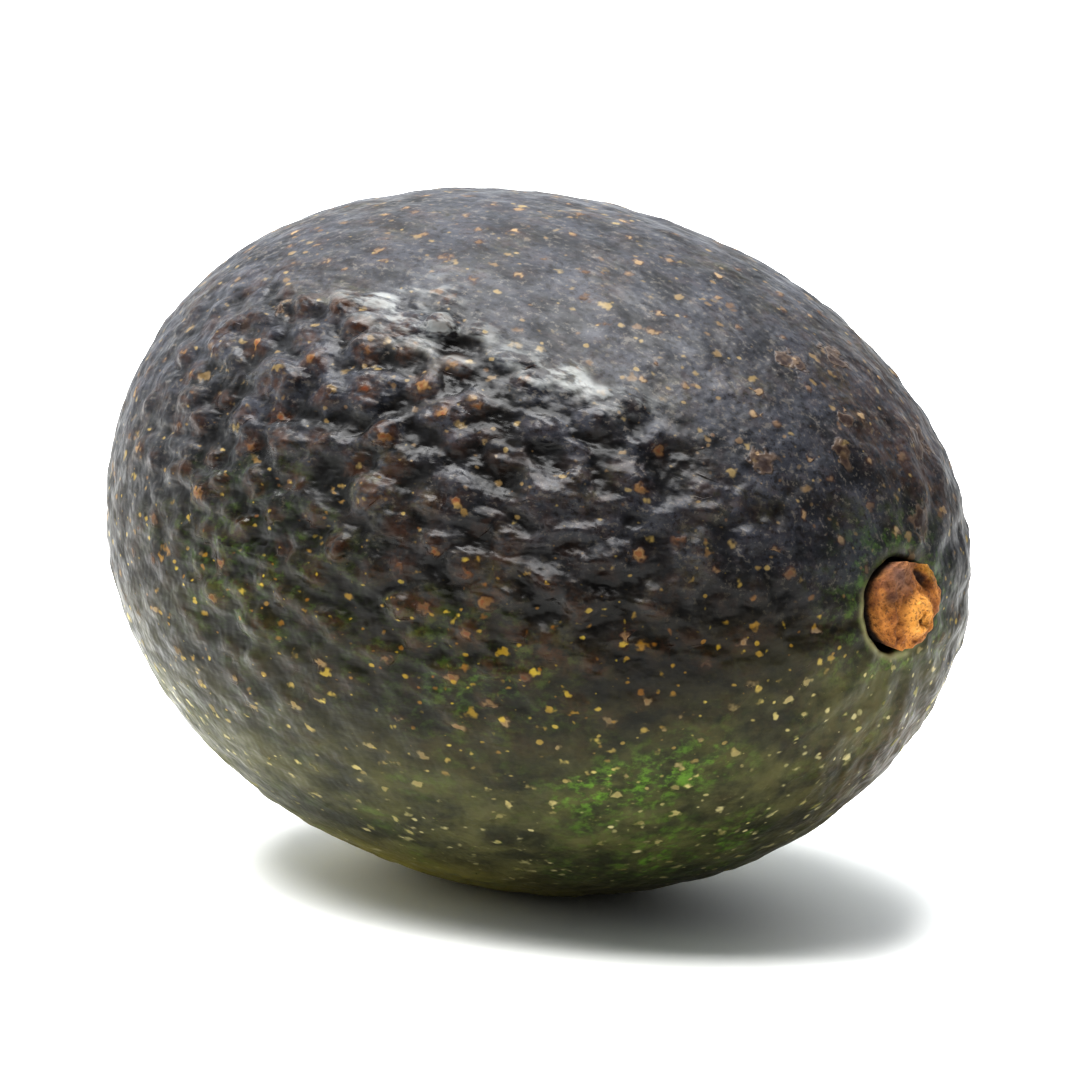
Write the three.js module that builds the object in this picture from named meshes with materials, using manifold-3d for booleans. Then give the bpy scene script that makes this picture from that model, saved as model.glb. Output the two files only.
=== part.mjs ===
// A whole ripe avocado of the dark, pebbled kind, lying on its side, with the corky button
// of its stem still seated in the fruit. Millimetres, +Z up. The fruit's own axis runs along
// X with the stem end at +X, and the ground is the plane z = 0.

import * as THREE from 'three';
import { ConvexHull } from 'three/addons/math/ConvexHull.js';
import { mergeVertices } from 'three/addons/utils/BufferGeometryUtils.js';
import Module from 'manifold-3d';

// Driving dimensions of the fruit
const FRUIT_LENGTH = 100;
const FRUIT_DIAMETER = 70.2;
const STEM_TAPER = 0.055; // how much narrower the stem half is than the blossom half
const END_FULLNESS = 0.015; // how much both ends are fuller than a plain egg
const BELLY_SAG = 1.5; // how far the middle hangs below the line between the two ends
const REST_TILT = THREE.MathUtils.degToRad(2.6); // stem end down, as the egg shape balances
const LUMP_HEIGHT = 0.35; // broad unevenness of the whole surface

// The small flat on which the fruit rests
const FLAT_DEPTH = 0.55; // how much of the round belly the flat takes off
const CALM_RADIUS = 13; // lumps and pebbles have their full height from here outwards
const CALM_CORE = 8.8; // and are gone inside this radius

// Pebbles of the skin, a little larger than life
const PEBBLE_COUNT = 600; // places tried; those too close to another stay empty
const PEBBLE_SPACING = Math.sqrt(4 * Math.PI / PEBBLE_COUNT / 0.866); // on a ball of radius 1
const PEBBLE_SCATTER = 0.32; // wander of a pebble from its even place, in pebble spacings
const CLOSEST = 0.62; // nearest that two tops may be, in pebble spacings
const PEBBLE_HEIGHT = 0.7; // rise of the tallest pebbles over the mean skin
const LOWEST_PEBBLE = 0.45; // rise of the lowest pebbles as a share of the tallest
const VALLEY_SHARE = 0.7; // depth between pebbles as a share of their rise
const SHOULDER_PLACE = 0.48; // where a dome turns down, from its top to the valley's corner
const SHOULDER_SHARE = 0.72; // height of that shoulder as a share of the top's
const CROWDED = 0.12; // a valley this close to a top, in pebble spacings, has no depth
const ROOMY = 0.5; // and from this far on it has its full depth
const SMOOTH_SHARE = 0.34; // relief left where the skin is smoothest
const ROUGH_PATCHES = [
  // places of strong relief: a direction from the middle of the fruit and the reach of the patch
  { towards: [0.1, -0.86, 0.45], reach: 0.62 },
  { towards: [-0.35, 0.55, 0.7], reach: 0.6 },
  { towards: [0.45, 0.85, -0.2], reach: 0.5 },
  { towards: [-0.75, 0.1, -0.3], reach: 0.45 },
];

// Stem button and the seat it sits in
const STEM_TOWARDS = new THREE.Vector3(1, 0, 0.058).normalize(); // a little above the axis
const STEM_RINGS = [5.6, 6.8, 8.8]; // radii of the closer points that shape the skin there
const STEM_RING_POINTS = 24;
const STEM_CALM_RADIUS = 14; // the pebbles fade out towards the stem from here
const BUTTON_RADIUS = 4.35;
const BUTTON_SIDES = 32;
const BUTTON_FOOT_SHARE = 0.86; // radius at the foot as a share of the rim's
const BUTTON_DEPTH = 2.6; // length sunk in the fruit
const BUTTON_RISE = 1.9; // crown of the button above the hollow round it
const RIM_DROP = 0.5; // how far the crown rounds down to its rim
const CRUMB_HEIGHT = 0.16;
const SEAT_GAP = 0.45; // dark ring between the button and the skin
const SEAT_CLEARANCE = 0.3; // room below the button
const DIMPLE_DEPTH = 1.1; // hollow in the skin round the button
const DIMPLE_RADIUS = 8;
const LIP_HEIGHT = 0.35; // raised edge of skin next to the button
const LIP_RADIUS = 6.2;
const LIP_WIDTH = 1.3;
const PUCKERS = 8; // shallow folds that run from the stem into the skin
const PUCKER_HEIGHT = 0.22;
const PUCKER_REACH = 13;
const KNOB = { u: 0.6, v: -1.1, radius: 1.8, rise: 0.9 }; // stub of the broken stem
const KNOB_PIT = { radius: 0.7, depth: 0.8 }; // hollow in the middle of the stub
const CREVICE = { u: 1.9, v: 2.3, length: 1.4, width: 0.55, depth: 1.2, turn: -0.85 };

// Blossom end
const BLOSSOM_PIT_DEPTH = 0.8;
const BLOSSOM_PIT_RADIUS = 3;
const BLOSSOM_RING_POINTS = 8;
const BLOSSOM_CALM_RADIUS = 9; // the pebbles fade out towards the pit from here

const HALF_LENGTH = FRUIT_LENGTH / 2;
const HALF_WIDTH = FRUIT_DIAMETER / 2;
const GOLDEN_ANGLE = Math.PI * (3 - Math.sqrt(5));

// A repeatable draw from 0 to 1 for one item and one purpose
function draw(item, purpose) {
  const wave = Math.sin(item * 12.9898 + purpose * 78.233) * 43758.5453;
  return wave - Math.floor(wave);
}

function bell(distance, width) {
  return Math.exp(-((distance / width) ** 2));
}

// The smooth fruit, in its own axis frame, for a unit direction
function smoothSkin(direction) {
  const along = direction.x;
  const taper = 1 - STEM_TAPER * along + END_FULLNESS * along * along;
  const sag = BELLY_SAG * (0.5 - along * along);
  return new THREE.Vector3(
    HALF_LENGTH * along,
    HALF_WIDTH * taper * direction.y,
    HALF_WIDTH * taper * direction.z - sag,
  );
}

// The way out of the skin at a direction
function outward(direction) {
  return new THREE.Vector3(
    direction.x / HALF_LENGTH,
    direction.y / HALF_WIDTH,
    direction.z / HALF_WIDTH,
  ).normalize();
}

// The direction of the middle of the flat: straight down, seen from the tilted axis
const FLAT_TOWARDS = new THREE.Vector3(-0.02, 0, -1).normalize();
const FLAT_MIDDLE = smoothSkin(FLAT_TOWARDS);
const STEM_PLACE = smoothSkin(STEM_TOWARDS);
const BLOSSOM_PLACE = smoothSkin(new THREE.Vector3(-1, 0, 0));

// 0 at the flat, rising to 1 away from it
function awayFromFlat(place) {
  return THREE.MathUtils.smoothstep(place.distanceTo(FLAT_MIDDLE), CALM_CORE, CALM_RADIUS);
}

// Share of the full pebble relief at a direction: strong in the rough patches
function roughness(direction, place) {
  let share = SMOOTH_SHARE;
  for (const patch of ROUGH_PATCHES) {
    const centre = new THREE.Vector3(...patch.towards).normalize();
    share += (1 - SMOOTH_SHARE) * bell(direction.distanceTo(centre), patch.reach);
  }
  const stemCalm = THREE.MathUtils.smoothstep(
    place.distanceTo(STEM_PLACE), LIP_RADIUS, STEM_CALM_RADIUS);
  const fromBlossom = place.distanceTo(BLOSSOM_PLACE);
  const blossomCalm = THREE.MathUtils.smoothstep(fromBlossom, 0, BLOSSOM_CALM_RADIUS);
  return Math.min(share, 1) * stemCalm * blossomCalm * awayFromFlat(place);
}

// Broad unevenness, with no lump near the flat
function lumps(direction, place) {
  const { x, y, z } = direction;
  const waves = Math.sin(3.1 * x + 2.3 * y - 1.1 * z + 0.4)
    + Math.sin(-2.2 * x + 3.4 * z + 1.9)
    + 0.7 * Math.sin(4.3 * y + 2.7 * x + 3.1 * z + 2.6);
  return 0.5 * LUMP_HEIGHT * waves * awayFromFlat(place);
}

// Hollow, lip and puckers round the stem, and the small pit of the blossom end
function endForms(place) {
  const fromStem = place.distanceTo(STEM_PLACE);
  const fromBlossom = place.distanceTo(BLOSSOM_PLACE);
  const round = Math.atan2(place.z - STEM_PLACE.z, place.y - STEM_PLACE.y);
  const puckerFade = bell(fromStem - PUCKER_REACH, PUCKER_REACH / 2);
  return LIP_HEIGHT * bell(fromStem - LIP_RADIUS, LIP_WIDTH)
    - DIMPLE_DEPTH * bell(fromStem, DIMPLE_RADIUS)
    - BLOSSOM_PIT_DEPTH * bell(fromBlossom, BLOSSOM_PIT_RADIUS)
    + PUCKER_HEIGHT * Math.sin(PUCKERS * round + 1.3 * Math.sin(2 * round)) * puckerFade;
}

// A point of the finished skin; relief is the pebble height there, from -1 to 1
function skinPoint(direction, relief) {
  const place = smoothSkin(direction);
  const rise = lumps(direction, place) + endForms(place)
    + PEBBLE_HEIGHT * relief * roughness(direction, place);
  return place.addScaledVector(outward(direction), rise);
}

// A scattered direction on an even spiral from the stem to the blossom end
function spiralDirection(i) {
  const wander = PEBBLE_SPACING * PEBBLE_SCATTER;
  const along = 1 - (2 * i + 1) / PEBBLE_COUNT;
  const across = Math.sqrt(1 - along * along);
  const turn = i * GOLDEN_ANGLE;
  return new THREE.Vector3(
    along + wander * (2 * draw(i, 1) - 1),
    across * Math.cos(turn) + wander * (2 * draw(i, 2) - 1),
    across * Math.sin(turn) + wander * (2 * draw(i, 3) - 1),
  ).normalize();
}

// Directions on a ring of a given radius, in millimetres, round one end of the fruit; shift
// turns the ring, in steps from point to point
function ringDirections(centre, radius, count, shift) {
  const share = radius / HALF_WIDTH;
  return Array.from({ length: count }, (_, k) => {
    const angle = 2 * Math.PI * (k + shift) / count;
    const step = new THREE.Vector3(0, share * Math.cos(angle), share * Math.sin(angle));
    return centre.clone().add(step).normalize();
  });
}

// The places of all domes: closer rings at the two ends, then the spiral between them
function domeDirections() {
  const blossom = new THREE.Vector3(-1, 0, 0);
  const tops = [
    STEM_TOWARDS.clone(),
    ...STEM_RINGS.flatMap((radius, ring) => (
      ringDirections(STEM_TOWARDS, radius, STEM_RING_POINTS, ring / 2))),
    blossom,
    ...ringDirections(blossom, BLOSSOM_PIT_RADIUS, BLOSSOM_RING_POINTS, 0),
  ];
  for (let i = 0; i < PEBBLE_COUNT; i += 1) {
    const direction = spiralDirection(i);
    const crowded = tops.some((top) => (
      top.distanceTo(direction) < CLOSEST * PEBBLE_SPACING));
    if (!crowded) tops.push(direction);
  }
  return tops;
}

// Relief where three valleys cross: shallow where one of the three tops is very close, so
// that no side is steep
function valleyRelief(middle, face) {
  const { edge } = face;
  const corners = [edge, edge.next, edge.prev].map((each) => each.head().point);
  const nearest = Math.min(...corners.map((corner) => corner.distanceTo(middle)));
  const depth = THREE.MathUtils.smoothstep(nearest / PEBBLE_SPACING, CROWDED, ROOMY);
  return THREE.MathUtils.lerp(SHOULDER_SHARE, -VALLEY_SHARE, depth);
}

// A closed skin of low faceted domes: each has a top, a ring of shoulders, one towards every
// face of the net that joins the tops, and a foot along the valleys, which cross in the
// middles of those faces
function pebbledSkin() {
  const tops = domeDirections();
  const hull = new ConvexHull().setFromPoints(tops);
  const positions = [];
  const triangles = [];
  const addPoint = (direction, relief) => {
    positions.push(...skinPoint(direction, relief).toArray());
    return positions.length / 3 - 1;
  };
  const gap = (a, b) => Math.hypot(
    ...[0, 1, 2].map((axis) => positions[3 * a + axis] - positions[3 * b + axis]));
  const rises = tops.map((_, i) => THREE.MathUtils.lerp(LOWEST_PEBBLE, 1, draw(i, 4)));
  const indexOf = new Map(tops.map((direction, i) => [direction, addPoint(direction, rises[i])]));
  const valleyOf = new Map();
  const shoulderOf = new Map();
  for (const face of hull.faces) {
    const middle = face.midpoint.clone().normalize();
    valleyOf.set(face, addPoint(middle, valleyRelief(middle, face)));
    let edge = face.edge;
    do {
      const top = edge.head().point;
      const shoulder = top.clone().lerp(middle, SHOULDER_PLACE).normalize();
      shoulderOf.set(edge, addPoint(shoulder, SHOULDER_SHARE * rises[indexOf.get(top)]));
      edge = edge.next;
    } while (edge !== face.edge);
  }
  for (const face of hull.faces) {
    let edge = face.edge;
    do {
      // From the edge's head: its shoulder in this face, then in the face across the edge
      const top = indexOf.get(edge.head().point);
      const here = shoulderOf.get(edge);
      const across = shoulderOf.get(edge.twin.prev);
      const valleyHere = valleyOf.get(face);
      const valleyAcross = valleyOf.get(edge.twin.face);
      triangles.push(top, here, across);
      if (gap(across, valleyHere) < gap(here, valleyAcross)) {
        triangles.push(across, here, valleyHere, across, valleyHere, valleyAcross);
      } else {
        triangles.push(here, valleyHere, valleyAcross, here, valleyAcross, across);
      }
      edge = edge.next;
    } while (edge !== face.edge);
  }
  const geometry = new THREE.BufferGeometry();
  geometry.setAttribute('position', new THREE.Float32BufferAttribute(positions, 3));
  geometry.setIndex(triangles);
  return geometry;
}

// Outline radius of the button at an angle: an uneven round
function buttonOutline(angle) {
  return BUTTON_RADIUS * (1 + 0.01 * Math.cos(2 * angle)
    + 0.035 * Math.sin(3 * angle + 0.7) + 0.02 * Math.sin(7 * angle + 2));
}

// Height of the button's crown over that hollow, at u to the side and v up, in its own plane;
// share is 0 in the middle and 1 at the rim
function crownHeight(u, v, share) {
  const toKnob = Math.hypot(u - KNOB.u, v - KNOB.v);
  const c = Math.cos(CREVICE.turn);
  const s = Math.sin(CREVICE.turn);
  const alongCrevice = (u - CREVICE.u) * c + (v - CREVICE.v) * s;
  const acrossCrevice = (v - CREVICE.v) * c - (u - CREVICE.u) * s;
  const crumbs = CRUMB_HEIGHT * Math.sin(2.9 * u + 1.3 * v) * Math.sin(3.1 * v - 1.7 * u + 1.1);
  return BUTTON_RISE + crumbs - RIM_DROP * share ** 6
    + KNOB.rise * bell(toKnob, KNOB.radius)
    - KNOB_PIT.depth * bell(toKnob, KNOB_PIT.radius)
    - CREVICE.depth * bell(alongCrevice, CREVICE.length) * bell(acrossCrevice, CREVICE.width);
}

// The button as a closed plug: a crown of rings, a side wall and a flat foot
function stemButton() {
  const rings = 9;
  const positions = [];
  const triangles = [];
  const addPoint = (radius, angle, height) => {
    positions.push(radius * Math.cos(angle), radius * Math.sin(angle), height);
    return positions.length / 3 - 1;
  };
  const crownMiddle = addPoint(0, 0, crownHeight(0, 0, 0));
  const loops = [];
  for (let ring = 1; ring <= rings; ring += 1) {
    const share = ring / rings;
    loops.push(Array.from({ length: BUTTON_SIDES }, (_, k) => {
      const angle = 2 * Math.PI * k / BUTTON_SIDES;
      const radius = share * buttonOutline(angle);
      const height = crownHeight(radius * Math.cos(angle), radius * Math.sin(angle), share);
      return addPoint(radius, angle, height);
    }));
  }
  loops.push(Array.from({ length: BUTTON_SIDES }, (_, k) => {
    const angle = 2 * Math.PI * k / BUTTON_SIDES;
    return addPoint(BUTTON_FOOT_SHARE * buttonOutline(angle), angle, -BUTTON_DEPTH);
  }));
  const footMiddle = addPoint(0, 0, -BUTTON_DEPTH);
  for (let k = 0; k < BUTTON_SIDES; k += 1) {
    const next = (k + 1) % BUTTON_SIDES;
    triangles.push(crownMiddle, loops[0][k], loops[0][next]);
    for (let ring = 0; ring + 1 < loops.length; ring += 1) {
      const inner = loops[ring];
      const outer = loops[ring + 1];
      triangles.push(inner[k], outer[k], outer[next], inner[k], outer[next], inner[next]);
    }
    const foot = loops[loops.length - 1];
    triangles.push(foot[k], footMiddle, foot[next]);
  }
  const geometry = new THREE.BufferGeometry();
  geometry.setAttribute('position', new THREE.Float32BufferAttribute(positions, 3));
  geometry.setIndex(triangles);
  return geometry;
}

// The room cut in the fruit for the button: its outline, wider by the dark ring
function stemSeat() {
  const outline = new THREE.Shape();
  for (let k = 0; k < BUTTON_SIDES; k += 1) {
    const angle = 2 * Math.PI * k / BUTTON_SIDES;
    const radius = buttonOutline(angle) + SEAT_GAP;
    const put = k === 0 ? 'moveTo' : 'lineTo';
    outline[put](radius * Math.cos(angle), radius * Math.sin(angle));
  }
  outline.closePath();
  const floorDepth = BUTTON_DEPTH + SEAT_CLEARANCE;
  const geometry = new THREE.ExtrudeGeometry(outline, {
    depth: floorDepth + 2 * LIP_RADIUS,
    bevelEnabled: false,
  });
  return geometry.translate(0, 0, -floorDepth);
}

// Turns the button's frame (u, v, out) into the fruit's: out along the skin's outward way
function stemFrame() {
  const out = outward(STEM_TOWARDS);
  const u = new THREE.Vector3(0, 0, 1).cross(out).normalize();
  const v = out.clone().cross(u);
  const base = skinPoint(STEM_TOWARDS, 0);
  return new THREE.Matrix4().makeBasis(u, v, out).setPosition(base);
}

const wasm = await Module();
wasm.setup();

function toSolid(geometry) {
  const bare = geometry.clone();
  bare.deleteAttribute('normal');
  bare.deleteAttribute('uv');
  const merged = mergeVertices(bare, 1e-5);
  return new wasm.Manifold(new wasm.Mesh({
    numProp: 3,
    vertProperties: new Float32Array(merged.attributes.position.array),
    triVerts: new Uint32Array(merged.index.array),
  }));
}

function toGeometry(solid) {
  const mesh = solid.getMesh();
  const geometry = new THREE.BufferGeometry();
  geometry.setAttribute('position', new THREE.BufferAttribute(mesh.vertProperties, 3));
  geometry.setIndex(new THREE.BufferAttribute(mesh.triVerts, 1));
  geometry.computeVertexNormals();
  return geometry;
}

// Lays everything down as the fruit lies: tilted, on the flat, with the fruit and its button
// in the middle of their common box
function layDown(skinGeometry, buttonGeometry, seatGeometry) {
  const all = [skinGeometry, buttonGeometry, seatGeometry];
  const tilt = new THREE.Matrix4().makeRotationY(REST_TILT);
  all.forEach((geometry) => geometry.applyMatrix4(tilt));
  skinGeometry.computeBoundingBox();
  buttonGeometry.computeBoundingBox();
  const { min, max } = skinGeometry.boundingBox.clone().union(buttonGeometry.boundingBox);
  const drop = new THREE.Matrix4().makeTranslation(
    -(min.x + max.x) / 2,
    -(min.y + max.y) / 2,
    -(min.z + FLAT_DEPTH),
  );
  all.forEach((geometry) => geometry.applyMatrix4(drop));
}

function aboveGround() {
  const size = 2 * FRUIT_LENGTH;
  return new THREE.BoxGeometry(size, size, size).translate(0, 0, size / 2);
}

const skin = pebbledSkin();
const button = stemButton().applyMatrix4(stemFrame());
const seat = stemSeat().applyMatrix4(stemFrame());
layDown(skin, button, seat);
const fruitSolid = toSolid(skin).subtract(toSolid(seat)).intersect(toSolid(aboveGround()));
button.computeVertexNormals();

const darkSkin = new THREE.MeshStandardMaterial({
  name: 'dark_skin', color: 0x2b2826, roughness: 0.42, metalness: 0,
});
const cork = new THREE.MeshStandardMaterial({
  name: 'stem_cork', color: 0xb5793c, roughness: 0.9, metalness: 0,
});

const fruit = new THREE.Mesh(toGeometry(fruitSolid), darkSkin);
fruit.name = 'fruit';

const stem = new THREE.Mesh(button, cork);
stem.name = 'stem_button';

const avocado = new THREE.Group();
avocado.name = 'avocado';
avocado.add(fruit, stem);

export default avocado;
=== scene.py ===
# A whole ripe avocado of the dark, pebbled kind, lying on its side: the skin in fine relief
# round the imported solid, and the corky button of its stem. Lengths below are in millimetres in
# the fruit's own axis frame, stem end at +X, unless a name says otherwise; the meshes are
# written in metres in the row's frame.

import math

import bpy
import numpy as np
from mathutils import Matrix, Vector, kdtree, noise


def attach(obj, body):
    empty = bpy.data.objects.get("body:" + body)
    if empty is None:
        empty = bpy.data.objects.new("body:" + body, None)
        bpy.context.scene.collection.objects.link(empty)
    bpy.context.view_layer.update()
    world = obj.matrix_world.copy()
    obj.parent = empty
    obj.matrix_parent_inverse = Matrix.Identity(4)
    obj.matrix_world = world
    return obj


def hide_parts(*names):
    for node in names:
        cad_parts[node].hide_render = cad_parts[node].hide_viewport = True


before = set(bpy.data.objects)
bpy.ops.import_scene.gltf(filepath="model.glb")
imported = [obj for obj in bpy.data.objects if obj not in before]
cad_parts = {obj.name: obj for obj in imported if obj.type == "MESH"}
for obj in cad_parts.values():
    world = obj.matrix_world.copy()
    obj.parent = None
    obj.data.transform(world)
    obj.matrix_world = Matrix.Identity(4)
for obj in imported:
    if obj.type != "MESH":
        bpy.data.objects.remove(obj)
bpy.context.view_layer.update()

MM = 0.001

# The fruit's smooth form, as in the part's source
HALF_LENGTH = 50.0
HALF_WIDTH = 35.1
STEM_TAPER = 0.055  # how much slimmer the stem end is than the middle
END_FULLNESS = 0.015
BELLY_SAG = 1.5
LUMP_HEIGHT = 0.35
REST_TILT = math.radians(2.6)
FRUIT_MIDDLE = np.array([-0.862, -0.249, 35.257])  # the fruit's own origin, in the row's frame
STEM_TOWARDS = np.array([1.0, 0.0, 0.058])
STEM_TOWARDS = STEM_TOWARDS / np.linalg.norm(STEM_TOWARDS)
FLAT_TOWARDS = np.array([-0.02, 0.0, -1.0])
CALM_CORE = 8.8  # no relief this near the middle of the flat
CALM_RADIUS = 13.0  # and full relief from here on

# Stem button and its seat, as in the part's source, but for the seat's slightly tighter gap
BUTTON_RADIUS = 4.35
BUTTON_DEPTH = 2.6
BUTTON_RISE = 1.9
RIM_DROP = 0.5
SEAT_GAP = 0.45
DIMPLE_DEPTH = 1.1
DIMPLE_RADIUS = 8.0
LIP_HEIGHT = 0.35
LIP_RADIUS = 6.2
LIP_WIDTH = 1.3
BLOSSOM_PIT_DEPTH = 0.8
BLOSSOM_PIT_RADIUS = 3.0

# Skin relief
SKIN_SEGMENTS = 400
SKIN_RINGS = 247
PEBBLE_SPACING = 3.7  # from top to top, across the fruit
PEBBLE_STRETCH = 1.4  # how much longer a pebble is along the fruit than across
SWELL_HEIGHT = 1.4  # rise of the tallest pebbles, where the skin is roughest
SMALL_SPACING = 2.3  # of the smaller pebbles, which rule the blossom half
SMALL_STRETCH = 1.2
SMALL_HEIGHT = 0.6
KNOB_HEIGHT = 0.15  # of the small knob on top of each large pebble
KNOB_RADIUS = 1.5
RIDGE_HEIGHT = 0.5  # of the short ridges between the pebbles
FOLD_HEIGHT = 0.7  # of the folds that run along the fruit in its stem half
CRUMPLE_HEIGHT = 0.25  # of the finest wrinkles that the mesh holds
LINE_SHARPNESS = 2.6  # of ridges and folds, which are where a noise passes through zero
BAND_TOP = 50.0  # degrees up the side, where the rough band ends
BAND_FOOT = -34.0  # and where it begins
CALM_SHARE = 0.17  # of the full relief, in the smooth places
DOT_DROP = 0.022  # how far below its top a cork dot sits, on a ball of radius 1
DOT_SCATTER = 0.014
DOT_SQUEEZE = 0.75  # a dot's width, as a share of its length along the fruit
END_BLUR = 0.22  # keeps the colours from meeting in a point at the ends

random = np.random.RandomState(7)


def smoothstep(low, high, value):
    t = np.clip((value - low) / (high - low), 0, 1)
    return t * t * (3 - 2 * t)


def bell(distance, width):
    return np.exp(-((distance / width) ** 2))


def unit(vectors):
    return vectors / np.linalg.norm(vectors, axis=-1, keepdims=True)


def noise_at(points, size, shift=0.0, stretch=1.0):
    """Soft noise of about -1 to 1. Its blotches are size mm across and stretch times as long."""
    scaled = points / (size * np.array([stretch, 1, 1])) + shift
    return np.array([noise.noise(Vector(p)) for p in scaled])


def smooth_skin(towards):
    along = towards[:, 0]
    taper = 1 - STEM_TAPER * along + END_FULLNESS * along**2
    sag = BELLY_SAG * (0.5 - along**2)
    return np.stack([
        HALF_LENGTH * along,
        HALF_WIDTH * taper * towards[:, 1],
        HALF_WIDTH * taper * towards[:, 2] - sag,
    ], axis=1)


def outward(towards):
    return unit(towards / np.array([HALF_LENGTH, HALF_WIDTH, HALF_WIDTH]))


FLAT_MIDDLE = smooth_skin(FLAT_TOWARDS[None])[0]
STEM_PLACE = smooth_skin(STEM_TOWARDS[None])[0]
BLOSSOM_PLACE = smooth_skin(np.array([[-1.0, 0, 0]]))[0]


def away_from_flat(place):
    return smoothstep(CALM_CORE, CALM_RADIUS, np.linalg.norm(place - FLAT_MIDDLE, axis=1))


def lumps(towards, place):
    x, y, z = towards.T
    waves = (np.sin(3.1 * x + 2.3 * y - 1.1 * z + 0.4) + np.sin(-2.2 * x + 3.4 * z + 1.9)
             + 0.7 * np.sin(4.3 * y + 2.7 * x + 3.1 * z + 2.6))
    return 0.5 * LUMP_HEIGHT * waves * away_from_flat(place)


def height_round(towards):
    """Angle up from the horizontal on the -Y side, in degrees, round the fruit's axis."""
    return np.degrees(np.arctan2(towards[:, 2], -towards[:, 1]))


def near(towards, centre, reach):
    """1 at a direction, fading over reach on a ball of radius 1."""
    return bell(np.linalg.norm(towards - unit(np.array(centre)), axis=1), reach)


def roughness_map(towards, place):
    """Share of the full relief: a strong band on the -Y side, patches elsewhere."""
    along = towards[:, 0]
    up = height_round(towards)
    waver = 7 * noise_at(place, 16, 3.1) + 3 * noise_at(place, 5, 9.2)
    blossom_side = smoothstep(-0.1, -0.75, along)
    from_below = (up + waver - BAND_FOOT - 36 * blossom_side) / (50 - 14 * blossom_side)
    from_above = up + waver + 4 * along - BAND_TOP
    band = smoothstep(0, 1, from_below) * (1 - smoothstep(-4, 4, from_above))
    band = band * smoothstep(-0.85, -0.2, along) * (1 - 0.7 * smoothstep(0.55, 0.95, along))
    back = (near(towards, [-0.35, 0.8, 0.4], 0.55) + near(towards, [0.45, 0.85, -0.2], 0.5)
            + near(towards, [-0.75, 0.6, -0.1], 0.4) + 0.7 * near(towards, [0.1, 0.9, 0.2], 0.4))
    behind = smoothstep(0.4, 0.7, towards[:, 1])
    back = np.clip(back, 0, 1) * (0.2 + 0.8 * behind)
    share = CALM_SHARE + (1 - CALM_SHARE) * np.maximum(band, back)
    from_stem = np.linalg.norm(place - STEM_PLACE, axis=1)
    from_blossom = np.linalg.norm(place - BLOSSOM_PLACE, axis=1)
    calm = smoothstep(LIP_RADIUS, 15, from_stem) * smoothstep(0, 9, from_blossom)
    return share * calm * away_from_flat(place)


def even_directions(count):
    """Directions of an even spiral over a ball."""
    i = np.arange(count)
    along = 1 - (2 * i + 1) / count
    across = np.sqrt(1 - along**2)
    turn = i * math.pi * (3 - math.sqrt(5))
    return np.stack([along, across * np.cos(turn), across * np.sin(turn)], axis=1)


SKIN_AREA = 17600.0
HEXAGON_SHARE = 0.866  # of the square of the spacing, which each top has to itself
NEIGHBOURS = 6


def scatter_tops(spacing, stretch):
    """Tops spread evenly over the skin and then shaken, with a search tree on squeezed places."""
    count = int(SKIN_AREA / (spacing**2 * stretch * HEXAGON_SHARE))
    towards = even_directions(count)
    shake = 0.33 * math.sqrt(4 * math.pi / count)
    towards = unit(towards + shake * random.uniform(-1, 1, towards.shape))
    tree = kdtree.KDTree(count)
    for number, point in enumerate(smooth_skin(towards) * np.array([1 / stretch, 1, 1])):
        tree.insert(Vector(point), number)
    tree.balance()
    return {
        "towards": towards,
        "tree": tree,
        "stretch": stretch,
        "height": 0.25 + 0.75 * random.uniform(0, 1, count)**1.3,
        "radius": spacing * random.uniform(0.5, 0.85, count),
    }


large_tops = scatter_tops(PEBBLE_SPACING, PEBBLE_STRETCH)
small_tops = scatter_tops(SMALL_SPACING, SMALL_STRETCH)
top_pick = random.uniform(0, 1, len(large_tops["height"]))


def bend_of(place):
    """Uneven shift of places, in mm, so that pebbles aren't round."""
    wide = np.stack([noise_at(place, 5.5, shift) for shift in (1.7, 12.3, 25.9)], axis=1)
    fine = np.stack([noise_at(place, 1.6, shift) for shift in (4.1, 17.7, 31.3)], axis=1)
    return 0.8 * wide + 0.25 * fine


def pebbles(place, bend, tops):
    """Rise of the swells and of the knobs on them, each 0 to about 1, and the nearest top."""
    numbers = np.zeros((len(place), NEIGHBOURS), int)
    gaps = np.zeros((len(place), NEIGHBOURS))
    for row, point in enumerate(place * np.array([1 / tops["stretch"], 1, 1]) + bend):
        for column, (_, number, gap) in enumerate(tops["tree"].find_n(Vector(point), NEIGHBOURS)):
            numbers[row, column] = number
            gaps[row, column] = gap
    heights = tops["height"][numbers]
    swells = heights * (1 - smoothstep(0.25, 1.0, gaps / tops["radius"][numbers]))
    knobs = heights * (1 - smoothstep(0.25, 1.0, gaps / (KNOB_RADIUS * (0.6 + 0.5 * heights))))
    return swells.max(axis=1), knobs.max(axis=1), numbers[:, 0]


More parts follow.
